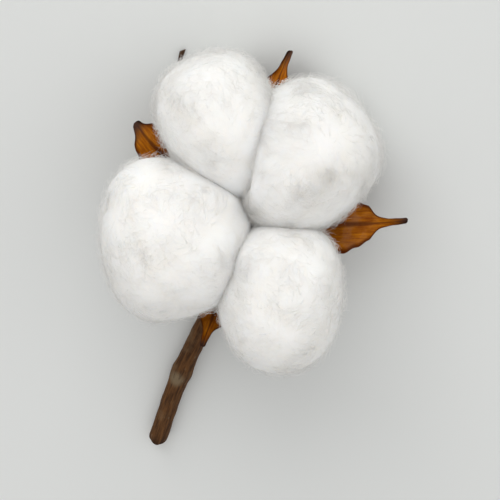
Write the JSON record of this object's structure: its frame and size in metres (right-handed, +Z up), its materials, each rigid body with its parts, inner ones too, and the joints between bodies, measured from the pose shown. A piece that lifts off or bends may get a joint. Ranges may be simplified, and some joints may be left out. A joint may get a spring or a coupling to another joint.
{
  "type": "cotton boll",
  "caption": "Open cotton boll picked with a stub of stem: puffed locks of white lint in a burr of pointed woody valves, lying face up on a table.",
  "frame": {"origin": "on the table, under the middle of the boll and stem's box", "axes": "+Z up from the table, +Y along the stem from its cut end towards the boll, +X to the right seen with the stem towards the viewer"},
  "size_m": [0.0579, 0.0942, 0.0434],
  "materials": {
    "lint": "fluffy raw cotton fibre, matte, warm white",
    "burr": "dry woody capsule wall, golden brown with dark edges and tips, half gloss",
    "calyx": "thin dry papery leaf, matte brown",
    "bark": "dry stem bark, dark brown with fine ridges and a grey patch, matte"
  },
  "bodies": {
    "root": {"lock_upper_right": "lint", "lock_upper_left": "lint", "lock_lower_left": "lint", "lock_lower_right": "lint", "burr": "burr", "calyx": "calyx", "bract_1": "calyx", "bract_2": "calyx", "bract_3": "calyx", "stem": "bark"}
  },
  "joints": []
}
